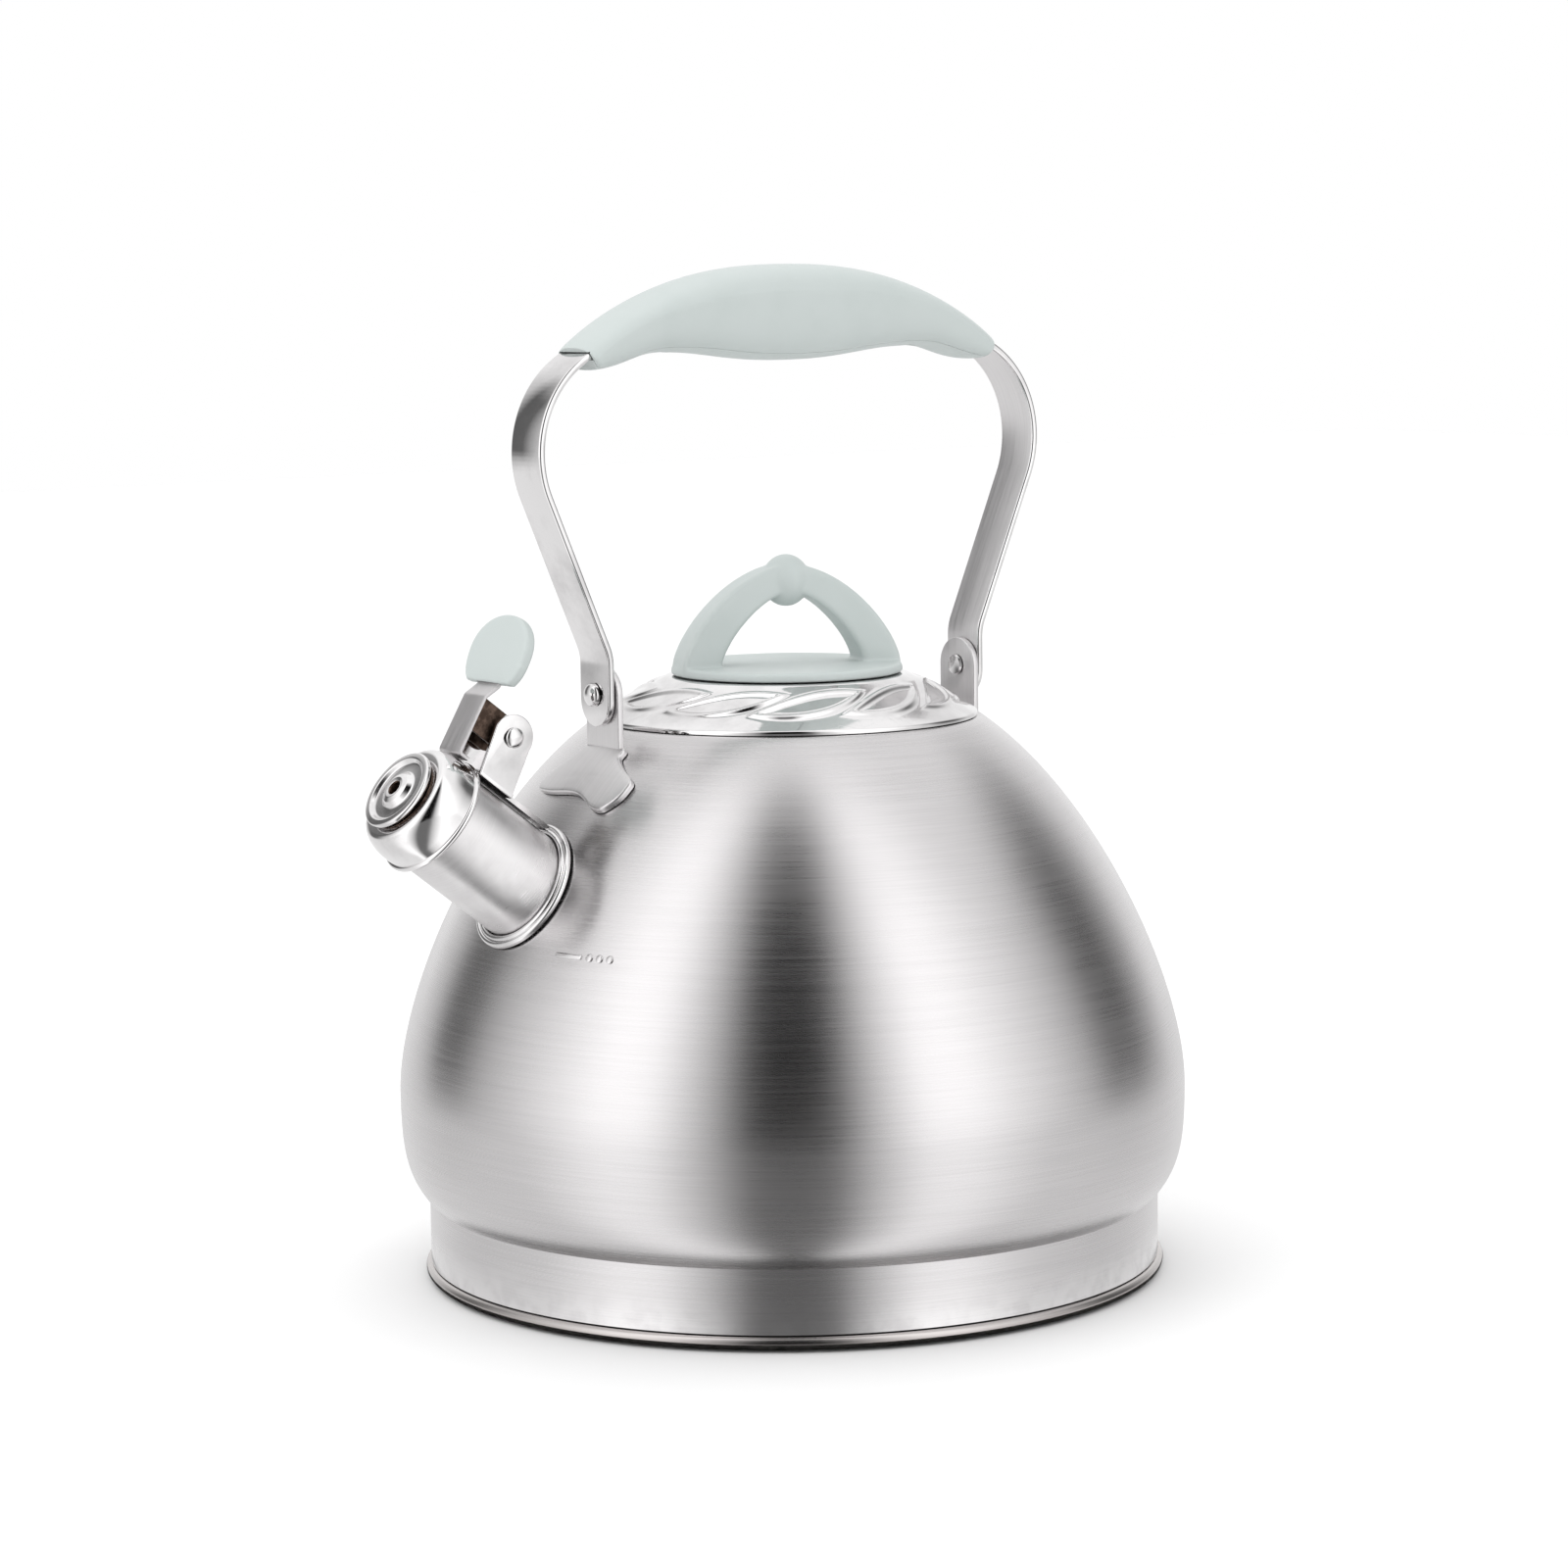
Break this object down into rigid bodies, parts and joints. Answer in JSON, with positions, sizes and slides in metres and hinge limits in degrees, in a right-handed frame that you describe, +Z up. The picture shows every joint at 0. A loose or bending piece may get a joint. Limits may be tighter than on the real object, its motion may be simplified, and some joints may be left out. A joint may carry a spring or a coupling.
{
  "type": "stovetop whistling kettle",
  "caption": "Domed stainless steel stovetop kettle with a drop handle, a lift-off lid and a lever-opened whistle cap on its spout.",
  "frame": {"origin": "centre of the flat base, where it stands on the hob", "axes": "+Z up, -X towards the spout, +Y across the handle"},
  "size_m": [0.2427, 0.2192, 0.2793],
  "materials": {
    "brushed_steel": "satin, fine horizontal grain",
    "polished_steel": "mirror polished",
    "aluminium": "plain rolled",
    "sage_plastic": "soft matte, moulded",
    "spring_steel": "dark oiled wire",
    "screw_steel": "plain"
  },
  "bodies": {
    "kettle": {"body_shell": "brushed_steel", "base_pan": "polished_steel", "heat_spreader": "aluminium", "base_cap": "brushed_steel", "spout_tube": "brushed_steel", "spout_flange": "polished_steel", "hinge_bracket": "brushed_steel", "hinge_pin": "polished_steel", "front_ear": "brushed_steel", "rear_ear": "brushed_steel", "front_handle_rivet": "polished_steel", "rear_handle_rivet": "polished_steel"},
    "handle": {"handle_strap": "brushed_steel", "grip_shell": "sage_plastic", "grip_cover": "sage_plastic", "grip_screw_front": "screw_steel", "grip_screw_rear": "screw_steel"},
    "whistle": {"whistle_cap": "polished_steel", "whistle_front_disc": "polished_steel", "whistle_rear_disc": "brushed_steel", "whistle_lever": "brushed_steel", "thumb_pad": "sage_plastic", "whistle_spring": "spring_steel"},
    "lid": {"lid_shell": "polished_steel", "lid_skirt": "brushed_steel", "lid_knob": "sage_plastic", "knob_screw_front": "screw_steel", "knob_screw_rear": "screw_steel", "knob_washer_front": "screw_steel", "knob_washer_rear": "screw_steel"}
  },
  "joints": [
    {"name": "handle_fold", "type": "hinge", "parent": "kettle", "child": "handle", "pos_m": [0, 0, 0.165], "axis": [1, 0, 0], "range_deg": [-102, 102]},
    {"name": "whistle_open", "type": "hinge", "parent": "kettle", "child": "whistle", "pos_m": [-0.09482, 0, 0.15641], "axis": [0, 1, 0], "range_deg": [0, 45], "stiffness_Nm_per_rad": 0.03, "springref_deg": -34.38, "deforming": ["whistle_spring"]},
    {"name": "lid_lift", "type": "slide", "parent": "kettle", "child": "lid", "axis": [0, 0, 1], "range_m": [0, 0.045]}
  ]
}
